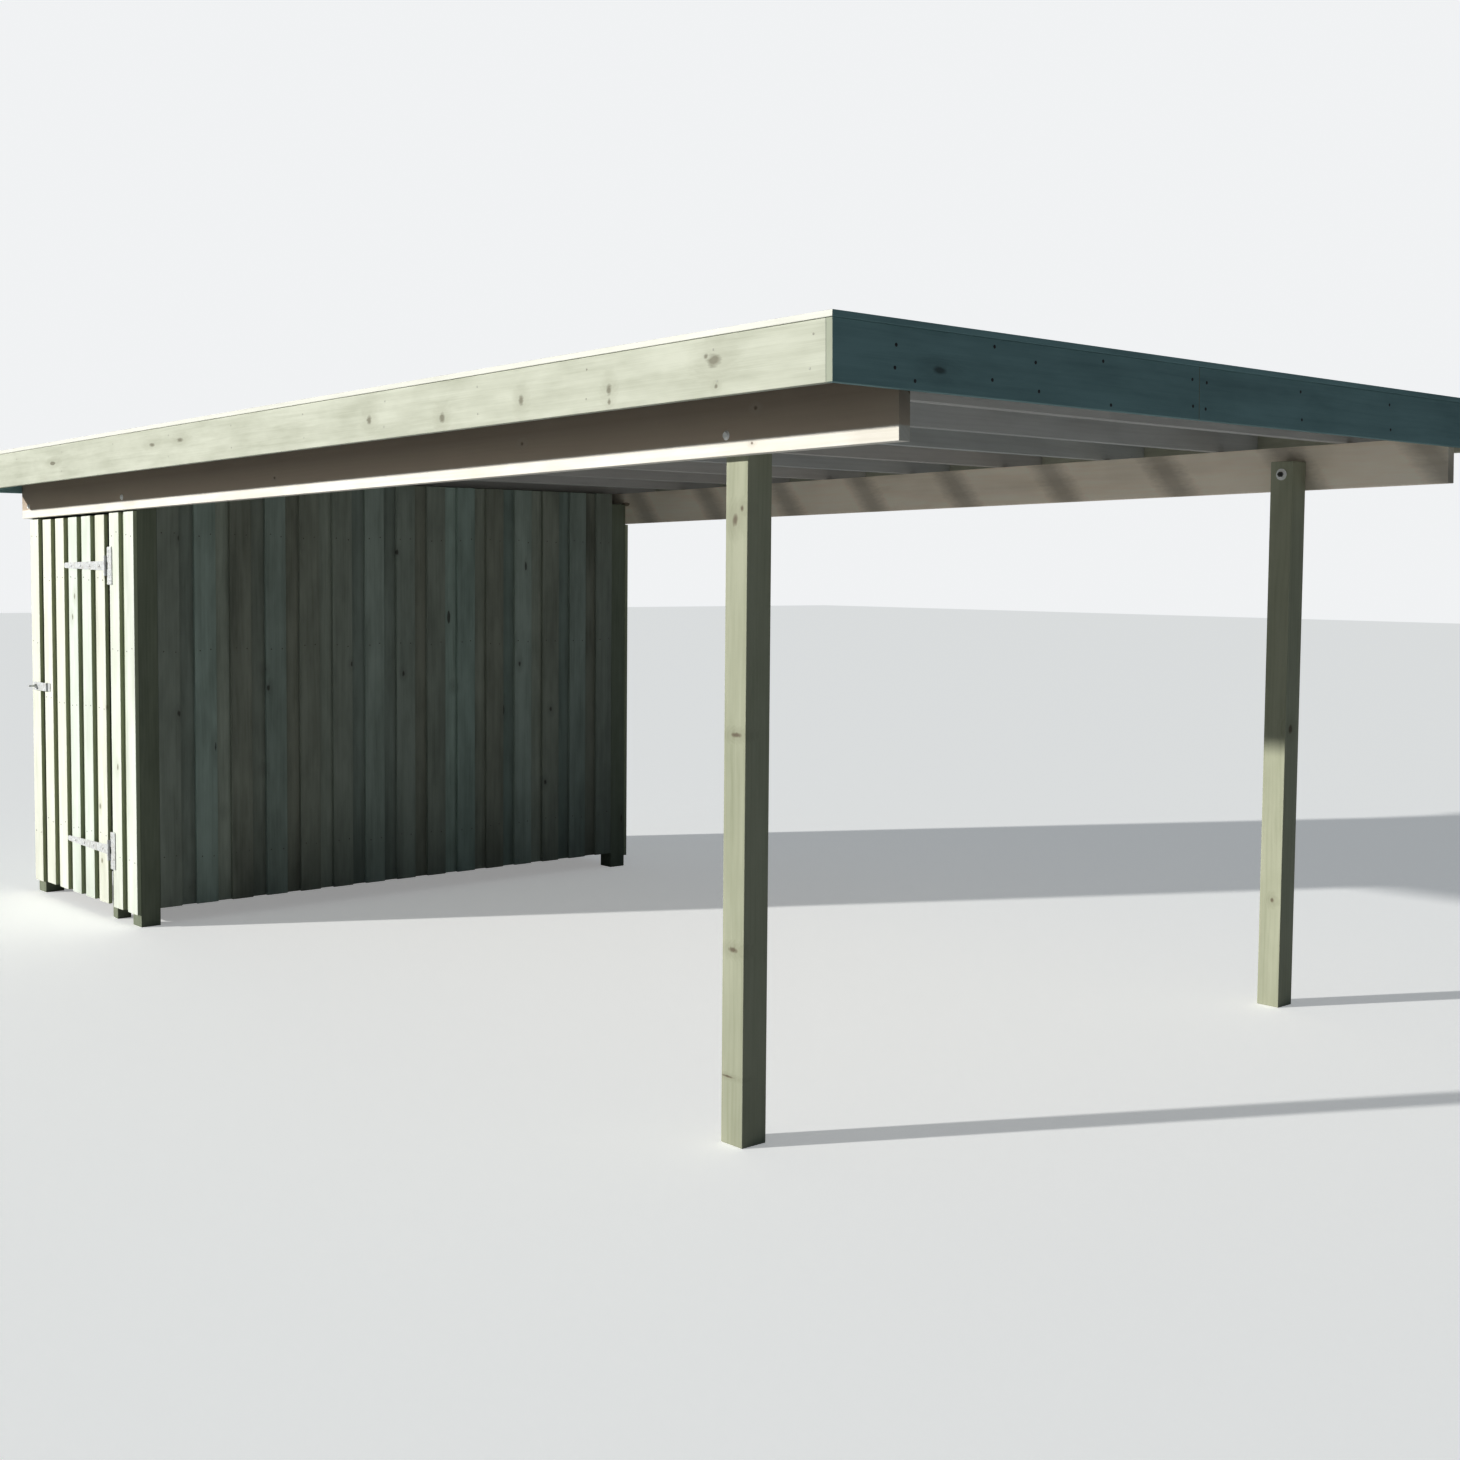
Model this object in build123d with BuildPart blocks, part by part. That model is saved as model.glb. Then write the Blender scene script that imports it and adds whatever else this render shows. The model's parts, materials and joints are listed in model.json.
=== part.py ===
from build123d import *
import os
from math import atan2, cos, sin, tan

# Flat-roofed timber carport with a board-clad store across its back end.
# Millimetres. X runs across the bay, Y from the open front to the store, Z up.
# The origin is the middle of the roof's outline at the foot of the posts.

# Plan of the frame
bay_width = 3030
beam_length = 6550
post_size = 100
near_post_setback = 670
far_post_setback = 613
store_depth = 1355
beam_end_gap = 45

# Long beams, bolted to the outer sides of the posts
beam_thickness = 45
beam_height = 180
beam_clear_height = 2155
roof_fall = 112
post_head_drop = 65

# Bolts that hold the beams to the posts
bolt_radius = 6
bolt_clearance = 0.5
bolt_rise = 62
bolt_head_radius = 15
bolt_head_thickness = 6
washer_radius = 24
washer_thickness = 3
washer_gap = 5
nut_radius = 9.5
nut_thickness = 10
bolt_end_length = 9

# Rafters laid across the beams
rafter_thickness = 45
rafter_height = 100
rafter_spacing = 600
first_rafter_setback = 428
side_overhang = 280

# Fascia, cap strips and roof covering
fascia_thickness = 25
fascia_height = 170
fascia_lap = 42
cap_width = 60
cap_thickness = 18
cap_overhang = 5
deck_thickness = 20
felt_thickness = 4
felt_kerb_width = 30

# Board-on-board cladding
board_thickness = 20
board_width = 115
cladding_ground_gap = 63
front_ground_gap = 85
cladding_top_gap = 6
side_boards = 8
front_boards = 15

# Rails behind the cladding
rail_thickness = 45
rail_height = 95
rail_foot_level = 330
rail_middle_level = 1375
rail_head_drop = 95

# Door in the near wall
hinge_side_boards = 2
door_boards = 5
door_gap = 8
door_ground_gap = 70
door_top_gap = 12
jamb_size = 70
jamb_rebate = 5
stop_thickness = 22
stop_width = 45
ledge_thickness = 22
ledge_height = 95
ledge_inset = 55
brace_width = 80

# Strap hinges
hinge_foot_level = 350
hinge_head_drop = 270
strap_thickness = 4
strap_length = 540
strap_root_width = 50
strap_tip_width = 28
pin_radius = 5
pin_clearance = 0.3
knuckle_radius = 9
knuckle_length = 34
knuckle_gap = 0.5
hinge_plate_width = 56
hinge_plate_height = 190
hinge_plate_corner = 6

# Hasp and staple
hasp_level = 1135
hasp_thickness = 3
hasp_width = 45
hasp_length = 175
hasp_lift = 8
hasp_leaf_length = 45
hasp_corner = 6
hasp_end_margin = 16
slot_length = 44
slot_width = 20
staple_rod_radius = 4
staple_spread = 24
staple_reach = 50
staple_plate_length = 62

# Places worked out from the sizes above
fall_angle = atan2(roof_fall, beam_length)
fascia_foot = beam_height - fascia_lap
fascia_top = fascia_foot + fascia_height
cap_top = fascia_top + cap_thickness
cap_reach = fascia_thickness + cap_overhang
rafter_top = beam_height + rafter_height
deck_top = rafter_top + deck_thickness

# The roof reaches this far before and behind the beams' front end, seen from above
reach_before = max(
    cap_reach * cos(fall_angle) - fascia_top * sin(fall_angle),
    fascia_thickness * cos(fall_angle) - fascia_foot * sin(fall_angle),
)
reach_behind = (beam_length + cap_reach) * cos(fall_angle) + cap_top * sin(fall_angle)
front_end_y = (reach_before - reach_behind) / 2

post_outer_x = bay_width / 2
post_inner_x = post_outer_x - post_size
beam_outer_x = post_outer_x + beam_thickness
roof_edge_x = beam_outer_x + side_overhang
rafter_end_x = roof_edge_x - fascia_thickness
store_back_y = front_end_y + beam_length - beam_end_gap
store_front_y = store_back_y - store_depth
cladding_face_x = post_outer_x + board_thickness

# The roof frame leans with the fall: x across, y down the slope, z square to it,
# counted from the lower front edge of the beams.
roof_plane = Plane(
    origin=(0, front_end_y, beam_clear_height),
    x_dir=(1, 0, 0),
    z_dir=(0, sin(fall_angle), cos(fall_angle)),
)


def beam_underside(y):
    """Height of the lower edge of the beams at a place along the carport."""
    return beam_clear_height - (y - front_end_y) * tan(fall_angle)


def finish(piece, name):
    """Label a finished piece and write it as its own file."""
    piece.part.label = name
    export_step(piece.part, f"parts/{name}.step")


def roof_board(x_low, x_high, y_low, y_high, z_low, z_high):
    """A square-edged timber in the leaning roof frame."""
    with BuildPart() as board:
        with BuildSketch(roof_plane.offset(z_low)):
            with Locations(((x_low + x_high) / 2, (y_low + y_high) / 2)):
                Rectangle(x_high - x_low, y_high - y_low)
        extrude(amount=z_high - z_low)
    return board


def bolt_place(y, setback):
    """Place of a post's bolt along the carport and up, for a front face at y."""
    return (y + setback, beam_underside(y + setback) + bolt_rise)


def post(side, y, setback):
    """A post bored for its bolt: side is -1 on the near side and 1 on the far side."""
    middle = side * (post_outer_x - post_size / 2)
    with BuildPart() as timber:
        with BuildSketch(Plane.XY):
            with Locations((middle, y + post_size / 2)):
                Rectangle(post_size, post_size)
        extrude(amount=beam_underside(y + post_size / 2) + beam_height - post_head_drop)
        with BuildSketch(Plane.YZ.offset(middle)):
            with Locations(bolt_place(y, setback)):
                Circle(bolt_radius + bolt_clearance)
        extrude(amount=post_size / 2, both=True, mode=Mode.SUBTRACT)
    return timber


def beam(side):
    """A beam on the outer side of its posts, bored for their bolts."""
    middle = side * (post_outer_x + beam_thickness / 2)
    bolts = [bolt_place(y, setback) for post_side, y, setback in posts if post_side == side]
    with BuildPart() as plank:
        with BuildSketch(roof_plane):
            with Locations((middle, beam_length / 2)):
                Rectangle(beam_thickness, beam_length)
        extrude(amount=beam_height)
        with BuildSketch(Plane.YZ.offset(middle)):
            with Locations(*bolts):
                Circle(bolt_radius + bolt_clearance)
        extrude(amount=beam_thickness / 2, both=True, mode=Mode.SUBTRACT)
    return plank


def slope_cut(height_above_underside):
    """Plane parallel to the roof, at a height over the lower edge of the beams."""
    return roof_plane.offset(height_above_underside)


os.makedirs("parts", exist_ok=True)

# Posts: two at the open end, four at the corners of the store. Each has its side, its
# front face and the setback of its bolt, which clears the cladding of the front wall.
behind_cladding = 2 * board_thickness + washer_radius + washer_gap
posts = [
    (-1, front_end_y + near_post_setback, post_size / 2),
    (1, front_end_y + far_post_setback, post_size / 2),
    (-1, store_front_y, behind_cladding),
    (1, store_front_y, behind_cladding),
    (-1, store_back_y - post_size, post_size / 2),
    (1, store_back_y - post_size, post_size / 2),
]
post_names = [
    "post_front_near",
    "post_front_far",
    "post_store_front_near",
    "post_store_front_far",
    "post_store_back_near",
    "post_store_back_far",
]
for name, place in zip(post_names, posts):
    finish(post(*place), name)

# Beams: one plank on edge down each side
finish(beam(-1), "beam_near")
finish(beam(1), "beam_far")

# Bolts: a round head on the beam, a washer and a nut on the bay side of the post
bolt_grip = beam_thickness + post_size + washer_thickness + nut_thickness
with BuildPart() as frame_bolts:
    for side, y, setback in posts:
        bolt_y, bolt_z = bolt_place(y, setback)
        head_plane = Plane(
            origin=(side * beam_outer_x, bolt_y, bolt_z), x_dir=(0, 1, 0), z_dir=(side, 0, 0)
        )
        nut_plane = Plane(
            origin=(side * post_inner_x, bolt_y, bolt_z), x_dir=(0, 1, 0), z_dir=(-side, 0, 0)
        )
        with BuildSketch(head_plane):
            Circle(bolt_head_radius)
        extrude(amount=bolt_head_thickness, taper=40)
        with BuildSketch(nut_plane):
            Circle(washer_radius)
        extrude(amount=washer_thickness)
        with BuildSketch(nut_plane.offset(washer_thickness)):
            RegularPolygon(nut_radius, 6, major_radius=False)
        extrude(amount=nut_thickness)
        with BuildSketch(head_plane):
            Circle(bolt_radius)
        extrude(amount=-(bolt_grip + bolt_end_length))
finish(frame_bolts, "frame_bolts")

# Rafters: one flush with each end of the beams, the others at a regular spacing
last_rafter_y = beam_length - rafter_thickness
rafter_room = last_rafter_y - first_rafter_setback - rafter_spacing / 2
rafter_count = int(rafter_room // rafter_spacing) + 1
rafter_places = [first_rafter_setback + i * rafter_spacing for i in range(rafter_count)]
with BuildPart() as rafters:
    for y in rafter_places:
        with BuildSketch(roof_plane.offset(beam_height)):
            with Locations((0, y + rafter_thickness / 2)):
                Rectangle(2 * rafter_end_x, rafter_thickness)
        extrude(amount=rafter_height)
finish(rafters, "rafters")
front_rafter = roof_board(-rafter_end_x, rafter_end_x, 0, rafter_thickness, beam_height, rafter_top)
finish(front_rafter, "rafter_front")
back_rafter = roof_board(
    -rafter_end_x, rafter_end_x, last_rafter_y, beam_length, beam_height, rafter_top
)
finish(back_rafter, "rafter_back")

# Roof boarding on the rafters
finish(roof_board(-rafter_end_x, rafter_end_x, 0, beam_length, rafter_top, deck_top), "roof_deck")

# Roofing felt, dressed up a low kerb to the top of the fascia
with BuildPart() as roof_felt:
    with BuildSketch(roof_plane.offset(deck_top)):
        with Locations((0, beam_length / 2)):
            Rectangle(2 * rafter_end_x, beam_length)
    extrude(amount=fascia_top - deck_top)
    with BuildSketch(roof_plane.offset(deck_top + felt_thickness)):
        with Locations((0, beam_length / 2)):
            Rectangle(2 * (rafter_end_x - felt_kerb_width), beam_length - 2 * felt_kerb_width)
    extrude(amount=fascia_top - deck_top, mode=Mode.SUBTRACT)
finish(roof_felt, "roof_felt")

# Fascia: the side boards run between the front and back boards
finish(
    roof_board(-roof_edge_x, roof_edge_x, -fascia_thickness, 0, fascia_foot, fascia_top),
    "fascia_front",
)
finish(
    roof_board(
        -roof_edge_x, roof_edge_x, beam_length, beam_length + fascia_thickness, fascia_foot, fascia_top
    ),
    "fascia_back",
)
finish(
    roof_board(-roof_edge_x, -rafter_end_x, 0, beam_length, fascia_foot, fascia_top), "fascia_near"
)
finish(roof_board(rafter_end_x, roof_edge_x, 0, beam_length, fascia_foot, fascia_top), "fascia_far")


def cap_strip(corners):
    """A flat strip with mitred ends on top of the fascia."""
    with BuildPart() as strip:
        with BuildSketch(roof_plane.offset(fascia_top)):
            with BuildLine():
                Polyline(*corners, close=True)
            make_face()
        extrude(amount=cap_thickness)
    return strip


# Cap strips: the outer corners of the ring, and the inner corners of its mitres
cap_outer_x = roof_edge_x + cap_overhang
cap_inner_x = cap_outer_x - cap_width
outer = [
    (-cap_outer_x, -cap_reach),
    (cap_outer_x, -cap_reach),
    (cap_outer_x, beam_length + cap_reach),
    (-cap_outer_x, beam_length + cap_reach),
]
inner = [
    (-cap_inner_x, cap_width - cap_reach),
    (cap_inner_x, cap_width - cap_reach),
    (cap_inner_x, beam_length + cap_reach - cap_width),
    (-cap_inner_x, beam_length + cap_reach - cap_width),
]
for i, name in enumerate(["cap_front", "cap_far", "cap_back", "cap_near"]):
    j = (i + 1) % 4
    finish(cap_strip([outer[i], outer[j], inner[j], inner[i]]), name)


def wall_plane(origin, along):
    """Level plane with x along a wall and y out of the store, zero on its nailing face."""
    return Plane(origin=origin, x_dir=along, z_dir=(0, 0, 1))


def upright_boards(plane, spans, outward, foot, top_cut):
    """Boards side by side, each span its two edges along the wall, cut to the roof's slope."""
    with BuildPart() as layer:
        with BuildSketch(plane.offset(foot)):
            for low, high in spans:
                with Locations(((low + high) / 2, outward + board_thickness / 2)):
                    Rectangle(high - low, board_thickness)
        extrude(amount=beam_clear_height + beam_height)
        split(bisect_by=top_cut, keep=Keep.BOTTOM)
    return layer


def outer_spans(starts):
    """Edges of the outer boards."""
    return [(start, start + board_width) for start in starts]


def under_spans(starts, low_end, high_end):
    """Edges of the under boards, centred behind the gaps, and kept between two ends."""
    middles = [(first + board_width + second) / 2 for first, second in zip(starts, starts[1:])]
    edges = [(middle - board_width / 2, middle + board_width / 2) for middle in middles]
    return [(max(low, low_end), min(high, high_end)) for low, high in edges]


# Front wall: set between the posts, its outer boards flush with their faces
front_span = 2 * post_inner_x
front_pitch = (front_span - board_width) / (front_boards - 1)
front_starts = [i * front_pitch for i in range(front_boards)]
front_plane = wall_plane((post_inner_x, store_front_y + board_thickness, 0), (-1, 0, 0))
tall_cut = slope_cut(beam_height - cladding_top_gap)
front_outer = upright_boards(front_plane, outer_spans(front_starts), 0, front_ground_gap, tall_cut)
finish(front_outer, "front_wall_outer")
front_under = upright_boards(
    front_plane, under_spans(front_starts, 0, front_span), -board_thickness, front_ground_gap, tall_cut
)
finish(front_under, "front_wall_under")

# Back wall: outer boards over the posts, under boards between them
back_span = 2 * post_outer_x
back_pitch = (back_span - board_width) / front_boards
back_starts = [i * back_pitch for i in range(front_boards + 1)]
back_plane = wall_plane((-post_outer_x, store_back_y, 0), (1, 0, 0))
back_outer = upright_boards(back_plane, outer_spans(back_starts), 0, cladding_ground_gap, tall_cut)
finish(back_outer, "back_wall_outer")
back_under = upright_boards(
    back_plane,
    under_spans(back_starts, post_size, back_span - post_size),
    -board_thickness,
    cladding_ground_gap,
    tall_cut,
)
finish(back_under, "back_wall_under")

# Far wall: like the back wall, but only up to the beam
side_pitch = (store_depth - board_width) / (side_boards - 1)
side_starts = [i * side_pitch for i in range(side_boards)]
side_cut = slope_cut(-cladding_top_gap)
far_plane = wall_plane((post_outer_x, store_back_y, 0), (0, -1, 0))
far_outer = upright_boards(far_plane, outer_spans(side_starts), 0, cladding_ground_gap, side_cut)
finish(far_outer, "far_wall_outer")
far_under = upright_boards(
    far_plane,
    under_spans(side_starts, post_size, store_depth - post_size),
    -board_thickness,
    cladding_ground_gap,
    side_cut,
)
finish(far_under, "far_wall_under")

# Near wall: the same boards, with the door's left out. The hinge line is in the middle
# of the gap before the door, and the last board lies on the corner post.
near_plane = wall_plane((-post_outer_x, store_front_y, 0), (0, 1, 0))
door_end_board = hinge_side_boards + door_boards
door_end = side_starts[door_end_board]
hinge_line = side_starts[hinge_side_boards] - (side_pitch - board_width) / 2
fixed_starts = side_starts[:hinge_side_boards] + side_starts[door_end_board:]
near_outer = upright_boards(near_plane, outer_spans(fixed_starts), 0, cladding_ground_gap, side_cut)
finish(near_outer, "near_wall_outer")
near_under = upright_boards(
    near_plane,
    under_spans(side_starts[:hinge_side_boards], post_size, hinge_line - jamb_size / 2),
    -board_thickness,
    cladding_ground_gap,
    side_cut,
)
finish(near_under, "near_wall_under")


# Rails that the cladding is nailed to, between the posts
rail_levels = [rail_foot_level, rail_middle_level, beam_underside(store_back_y) - rail_head_drop]
front_rail_y = store_front_y + 2 * board_thickness + rail_thickness / 2
back_rail_y = store_back_y - board_thickness - rail_thickness / 2
side_rail_x = post_outer_x - board_thickness - rail_thickness / 2
jamb_front_y = store_front_y + hinge_line - jamb_size / 2
side_rail_front_y = store_front_y + post_size
side_rail_back_y = store_back_y - post_size
with BuildPart() as store_rails:
    for level in rail_levels:
        with BuildSketch(Plane.XY.offset(level - rail_height / 2)):
            with Locations((0, front_rail_y), (0, back_rail_y)):
                Rectangle(front_span, rail_thickness)
            with Locations((side_rail_x, (side_rail_front_y + side_rail_back_y) / 2)):
                Rectangle(rail_thickness, side_rail_back_y - side_rail_front_y)
            with Locations((-side_rail_x, (side_rail_front_y + jamb_front_y) / 2)):
                Rectangle(rail_thickness, jamb_front_y - side_rail_front_y)
        extrude(amount=rail_height)
finish(store_rails, "store_rails")

# Jamb at the hinge line: it closes the gap there, flush with the posts, and is cut back
# where the door passes in front of it
inner_face_x = post_outer_x - board_thickness
with BuildPart() as hinge_jamb:
    with BuildSketch(Plane.XY):
        with Locations((-post_outer_x + jamb_size / 2, jamb_front_y + jamb_size / 2)):
            Rectangle(jamb_size, jamb_size)
        with Locations((-post_outer_x + jamb_rebate / 2, jamb_front_y + jamb_size * 3 / 4)):
            Rectangle(jamb_rebate, jamb_size / 2, mode=Mode.SUBTRACT)
    extrude(amount=beam_underside(jamb_front_y + jamb_size) - cladding_top_gap)
finish(hinge_jamb, "hinge_jamb")

# Door stop on the corner post
stop_y = store_back_y - post_size
stop_x = -inner_face_x + jamb_rebate + stop_thickness / 2
with BuildPart() as door_stop:
    with BuildSketch(Plane.XY.offset(door_ground_gap)):
        with Locations((stop_x, stop_y - stop_width / 2)):
            Rectangle(stop_thickness, stop_width)
    extrude(amount=beam_underside(stop_y) - cladding_top_gap - door_ground_gap)
finish(door_stop, "door_stop")

# Door leaf: its under boards start past the jamb and end just short of the strip
leaf_start = hinge_line + jamb_size / 2 + door_gap
leaf_end = door_end - door_gap
leaf_cut = slope_cut(-door_top_gap)
leaf_starts = side_starts[hinge_side_boards:door_end_board]
leaf_outer = upright_boards(near_plane, outer_spans(leaf_starts), 0, door_ground_gap, leaf_cut)
finish(leaf_outer, "door_outer_boards")
leaf_under = upright_boards(
    near_plane,
    under_spans(side_starts[hinge_side_boards : door_end_board + 1], leaf_start, leaf_end),
    -board_thickness,
    door_ground_gap,
    leaf_cut,
)
finish(leaf_under, "door_under_boards")

# Ledges and braces on the inside of the door
pin_y = store_front_y + hinge_line
hinge_levels = [hinge_foot_level, beam_underside(pin_y) - hinge_head_drop]
middle_level = sum(hinge_levels) / 2
ledge_low_y = store_front_y + leaf_start
ledge_high_y = store_front_y + leaf_end - ledge_inset
ledge_span = ledge_high_y - ledge_low_y
brace_rise = middle_level - hinge_foot_level - ledge_height
brace_angle = atan2(brace_rise, ledge_span - brace_width)
brace_foot_half = brace_width / sin(brace_angle) / 2
brace_run = ledge_span / 2 - brace_foot_half
inside_plane = Plane(
    origin=(-inner_face_x, (ledge_low_y + ledge_high_y) / 2, 0), x_dir=(0, 1, 0), z_dir=(1, 0, 0)
)
with BuildPart() as door_ledges:
    with BuildSketch(inside_plane):
        with Locations(*[(0, level) for level in (*hinge_levels, middle_level)]):
            Rectangle(ledge_span, ledge_height)
        for level in (hinge_foot_level, middle_level):
            foot = level + ledge_height / 2
            with BuildLine():
                Polyline(
                    (-brace_run - brace_foot_half, foot),
                    (-brace_run + brace_foot_half, foot),
                    (brace_run + brace_foot_half, foot + brace_rise),
                    (brace_run - brace_foot_half, foot + brace_rise),
                    close=True,
                )
            make_face()
    extrude(amount=ledge_thickness)
finish(door_ledges, "door_ledges")

# Strap hinges: the pin stands clear of the wall over the hinge line
pin_x = -cladding_face_x - knuckle_radius
strap_plane = Plane(origin=(-cladding_face_x, pin_y, 0), x_dir=(0, 1, 0), z_dir=(-1, 0, 0))
with BuildPart() as hinge_plates:
    for level in hinge_levels:
        barrel_half = knuckle_length / 2 + knuckle_gap + knuckle_length
        with BuildSketch(strap_plane):
            with Locations((-knuckle_radius - hinge_plate_width / 2, -level)):
                RectangleRounded(hinge_plate_width, hinge_plate_height, hinge_plate_corner)
            with Locations((-knuckle_radius / 2 - strap_thickness / 2, -level)):
                Rectangle(knuckle_radius + strap_thickness, 2 * barrel_half)
        extrude(amount=strap_thickness)
        with BuildSketch(Plane.XY.offset(level - barrel_half)):
            with Locations((pin_x, pin_y)):
                Circle(knuckle_radius)
        extrude(amount=2 * barrel_half)
        with BuildSketch(Plane.XY.offset(level - knuckle_length / 2 - knuckle_gap)):
            with Locations((pin_x, pin_y)):
                Rectangle(4 * knuckle_radius, 4 * knuckle_radius)
        extrude(amount=knuckle_length + 2 * knuckle_gap, mode=Mode.SUBTRACT)
        with BuildSketch(Plane.XY.offset(level - barrel_half)):
            with Locations((pin_x, pin_y)):
                Circle(pin_radius)
        extrude(amount=2 * barrel_half)
finish(hinge_plates, "hinge_plates")

with BuildPart() as hinge_straps:
    for level in hinge_levels:
        with BuildSketch(strap_plane):
            with BuildLine():
                Polyline(
                    (0, -level - strap_root_width / 2),
                    (strap_length, -level - strap_tip_width / 2),
                    (strap_length + strap_tip_width / 2, -level),
                    (strap_length, -level + strap_tip_width / 2),
                    (0, -level + strap_root_width / 2),
                    close=True,
                )
            make_face()
        extrude(amount=strap_thickness)
        with BuildSketch(Plane.XY.offset(level - strap_root_width)):
            with Locations((pin_x, pin_y)):
                Rectangle(4 * knuckle_radius, 2 * (knuckle_radius + pin_clearance))
        extrude(amount=strap_root_width - knuckle_length / 2, mode=Mode.SUBTRACT)
        with BuildSketch(Plane.XY.offset(level + knuckle_length / 2)):
            with Locations((pin_x, pin_y)):
                Rectangle(4 * knuckle_radius, 2 * (knuckle_radius + pin_clearance))
        extrude(amount=strap_root_width - knuckle_length / 2, mode=Mode.SUBTRACT)
        with BuildSketch(Plane.XY.offset(level - knuckle_length / 2)):
            with Locations((pin_x, pin_y)):
                Circle(knuckle_radius)
        extrude(amount=knuckle_length)
        with BuildSketch(Plane.XY.offset(level - knuckle_length / 2)):
            with Locations((pin_x, pin_y)):
                Circle(pin_radius + pin_clearance)
        extrude(amount=knuckle_length, mode=Mode.SUBTRACT)
finish(hinge_straps, "hinge_straps")

# Hasp on the door and staple on the strip beside it
slot_centre = door_end + board_width / 3
hasp_start = slot_centre + slot_length / 2 + hasp_end_margin - hasp_length
hasp_plane = Plane(
    origin=(-cladding_face_x, store_front_y, hasp_level), x_dir=(0, 1, 0), z_dir=(-1, 0, 0)
)
with BuildPart() as hasp:
    with BuildSketch(hasp_plane):
        with Locations((hasp_start - hasp_leaf_length / 2, 0)):
            RectangleRounded(hasp_leaf_length, hasp_width, hasp_corner)
    extrude(amount=hasp_lift + hasp_thickness)
    with BuildSketch(hasp_plane.offset(hasp_thickness)):
        with Locations((hasp_start - hasp_leaf_length / 2 - hasp_lift, 0)):
            Rectangle(hasp_leaf_length, 2 * hasp_width)
    extrude(amount=2 * hasp_lift, mode=Mode.SUBTRACT)
    with BuildSketch(hasp_plane.offset(hasp_lift)):
        with Locations((hasp_start + (hasp_length - hasp_lift) / 2, 0)):
            RectangleRounded(hasp_length + hasp_lift, hasp_width, hasp_corner)
        with Locations((slot_centre, 0)):
            SlotOverall(slot_length, slot_width, mode=Mode.SUBTRACT)
    extrude(amount=hasp_thickness)
finish(hasp, "hasp")

with BuildPart() as staple:
    with BuildSketch(hasp_plane):
        with Locations((slot_centre, 0)):
            RectangleRounded(staple_plate_length, hasp_width, hasp_corner)
    extrude(amount=hasp_thickness)
    bow_centre = staple_reach - staple_spread / 2
    with BuildSketch(hasp_plane.offset(hasp_thickness)):
        with Locations((slot_centre - staple_spread / 2, 0), (slot_centre + staple_spread / 2, 0)):
            Circle(staple_rod_radius)
    extrude(amount=bow_centre - hasp_thickness)
    bow_plane = Plane(
        origin=(-cladding_face_x - bow_centre, store_front_y + slot_centre, hasp_level),
        x_dir=(0, 1, 0),
        z_dir=(-1, 0, 0),
    )
    with BuildSketch(bow_plane):
        with Locations((staple_spread / 2, 0)):
            Circle(staple_rod_radius)
    bow_axis = Axis(origin=bow_plane.origin, direction=(0, 0, 1))
    revolve(axis=bow_axis, revolution_arc=180)
finish(staple, "staple")
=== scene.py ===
import json
import math
import random

import bmesh
import bpy
from mathutils import Matrix, Vector, noise

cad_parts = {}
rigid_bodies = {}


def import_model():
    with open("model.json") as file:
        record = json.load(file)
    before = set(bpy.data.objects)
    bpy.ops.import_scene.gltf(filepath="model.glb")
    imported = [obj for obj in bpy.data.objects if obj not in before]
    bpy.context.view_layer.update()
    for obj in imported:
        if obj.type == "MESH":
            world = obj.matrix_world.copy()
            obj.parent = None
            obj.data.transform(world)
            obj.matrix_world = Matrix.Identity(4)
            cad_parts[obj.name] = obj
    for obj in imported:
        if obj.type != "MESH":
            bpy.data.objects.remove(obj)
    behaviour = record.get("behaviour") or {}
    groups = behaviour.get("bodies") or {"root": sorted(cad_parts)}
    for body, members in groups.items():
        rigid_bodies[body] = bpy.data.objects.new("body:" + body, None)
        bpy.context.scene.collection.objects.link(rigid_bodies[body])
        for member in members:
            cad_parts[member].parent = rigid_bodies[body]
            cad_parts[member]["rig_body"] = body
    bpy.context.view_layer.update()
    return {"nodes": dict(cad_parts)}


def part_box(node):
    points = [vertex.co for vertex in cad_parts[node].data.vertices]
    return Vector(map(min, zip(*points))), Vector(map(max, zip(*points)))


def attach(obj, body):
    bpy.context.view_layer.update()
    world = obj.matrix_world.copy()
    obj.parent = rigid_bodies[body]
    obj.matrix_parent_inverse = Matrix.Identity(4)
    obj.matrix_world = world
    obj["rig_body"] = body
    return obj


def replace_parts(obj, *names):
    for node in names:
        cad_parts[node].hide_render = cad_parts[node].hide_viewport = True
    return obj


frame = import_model()


# Posts
# Six square posts of pressure-treated softwood, planed, with their arrises eased. The
# timber's shader and the helper that dresses a solid as boards are written here first.
nodes = frame["nodes"]
rng = random.Random(7)
upright = Vector((0, 0, 1))
roof_start_y, roof_fall = -3.28, 0.0171  # the roof's front end, and metres down a metre


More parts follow.
